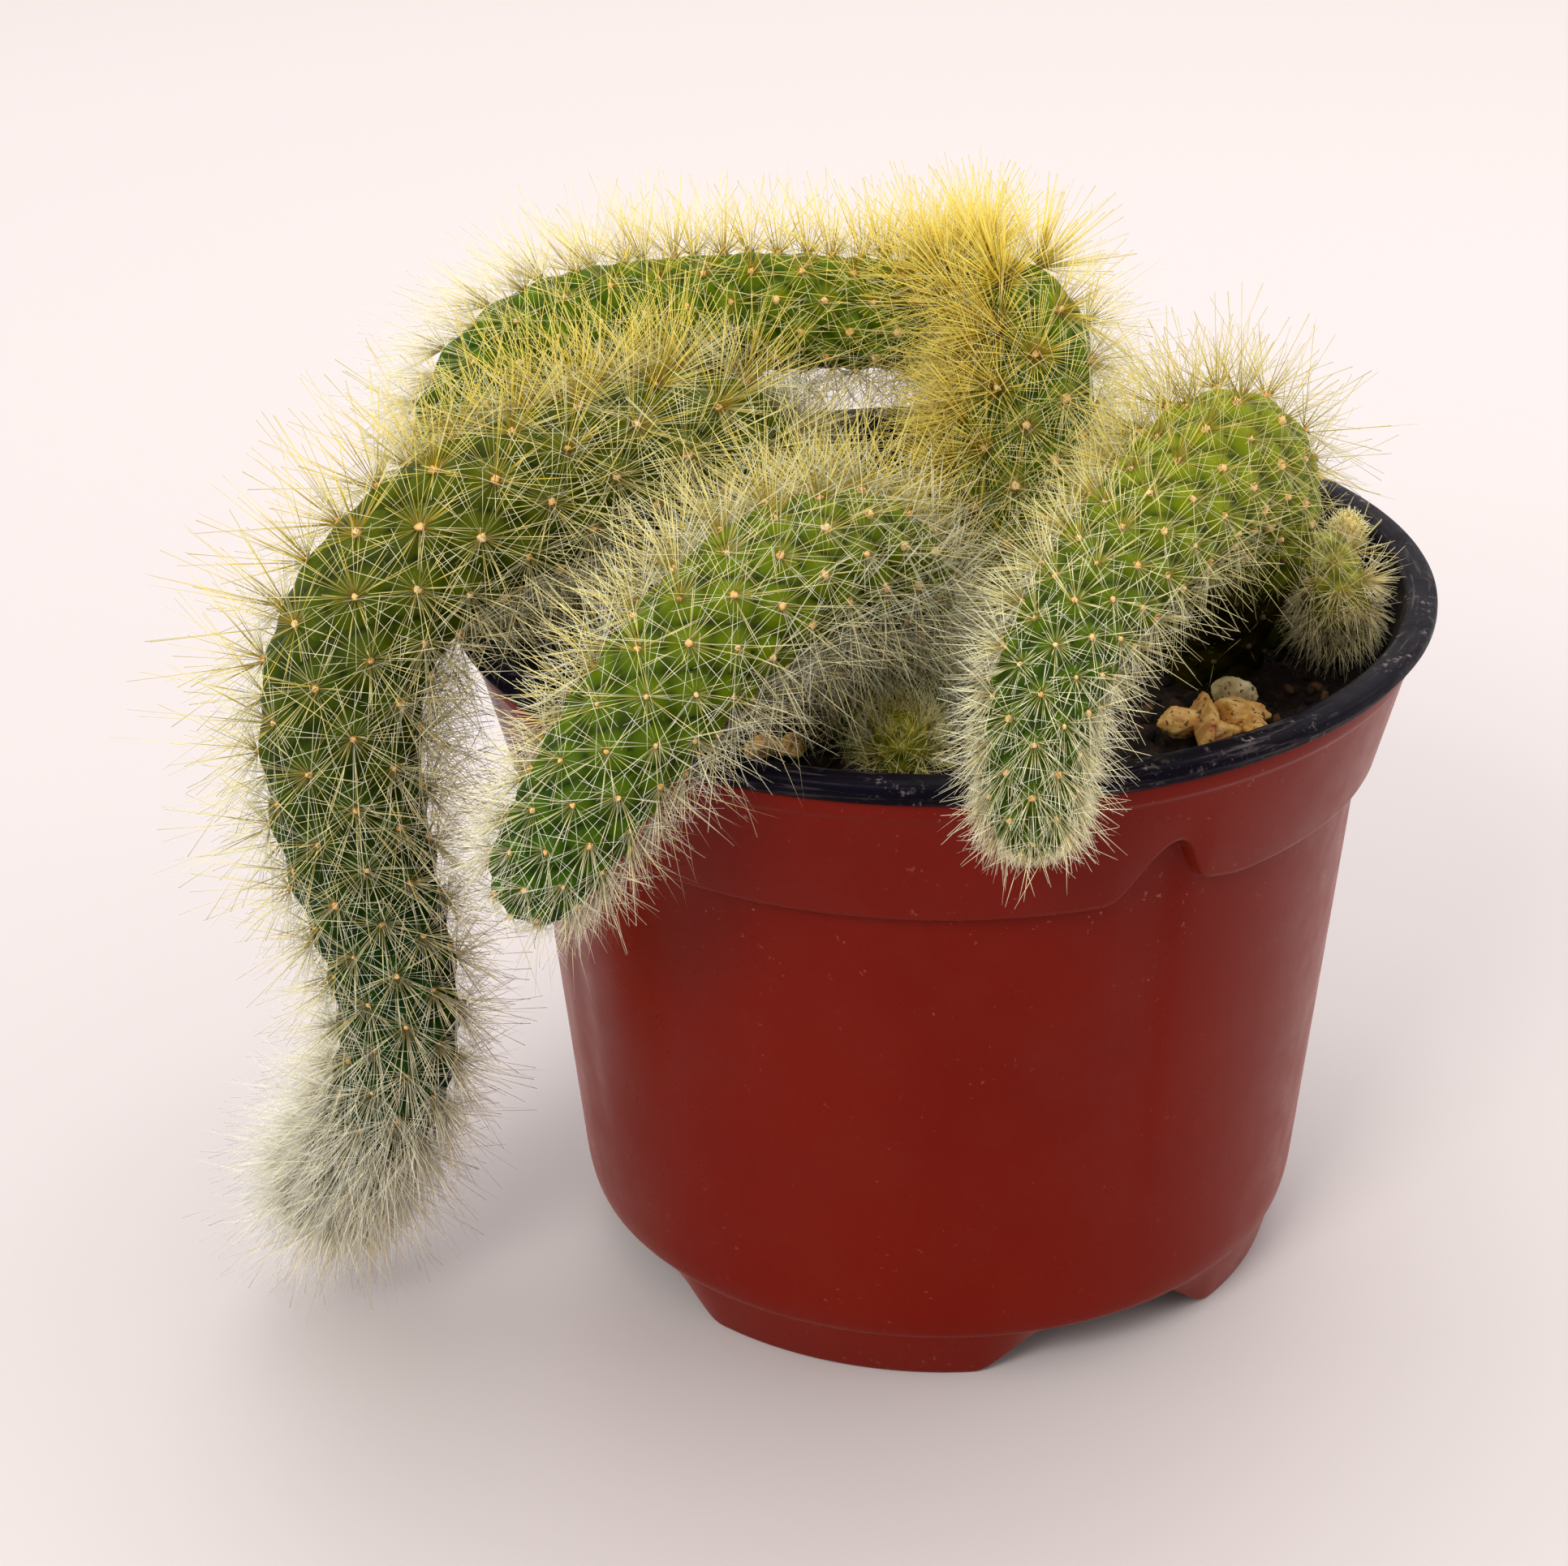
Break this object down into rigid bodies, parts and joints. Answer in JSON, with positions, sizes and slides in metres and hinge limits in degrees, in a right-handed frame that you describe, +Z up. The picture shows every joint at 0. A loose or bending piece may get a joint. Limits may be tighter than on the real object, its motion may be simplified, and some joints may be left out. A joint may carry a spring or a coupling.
{
  "type": "potted monkey tail cactus",
  "caption": "Potted monkey tail cactus: bristly trailing stems rise from soil in a round nursery pot and arch over its rim, one hanging far down the side.",
  "frame": {"origin": "middle of the overall footprint of plant and pot, on the surface that the pot stands on; the pot axis stands 18.0 mm to +X and 10.9 mm to +Y of it", "axes": "+Z up along the pot axis, +X to the right and +Y to the back as seen from the front; the longest stem hangs on the -X side and two stems reach over the rim to -Y"},
  "size_m": [0.1556, 0.1414, 0.1338],
  "materials": {
    "terracotta_plastic": "satin injection-moulded plastic, terracotta red, fine scuffs",
    "black_plastic": "near-black plastic, scuffed and dusty on the rim",
    "dark_soil": "dark crumbly potting mix, matt",
    "tan_grit": "rough tan clay grit",
    "pale_grit": "off-white pebble, matt",
    "cream_wool": "cream plant wool",
    "stem_skin_dark": "waxy green skin, darker towards the tip, cream and golden spines",
    "stem_skin": "waxy green skin, cream and golden spines",
    "shoot_skin": "pale green skin under short cream bristles"
  },
  "bodies": {
    "root": {"grit_left": "tan_grit", "grit_right": "tan_grit", "pebble_pale": "pale_grit", "pot_liner_and_rim": "black_plastic", "pot_outer_layer": "terracotta_plastic", "shoot_front": "shoot_skin", "shoot_right": "shoot_skin", "soil": "dark_soil", "stem_arching_back": "stem_skin", "stem_hanging_left": "stem_skin_dark", "stem_middle_front": "stem_skin", "stem_right_front": "stem_skin", "stem_short_rear": "stem_skin", "woolly_bud": "cream_wool"}
  },
  "joints": []
}
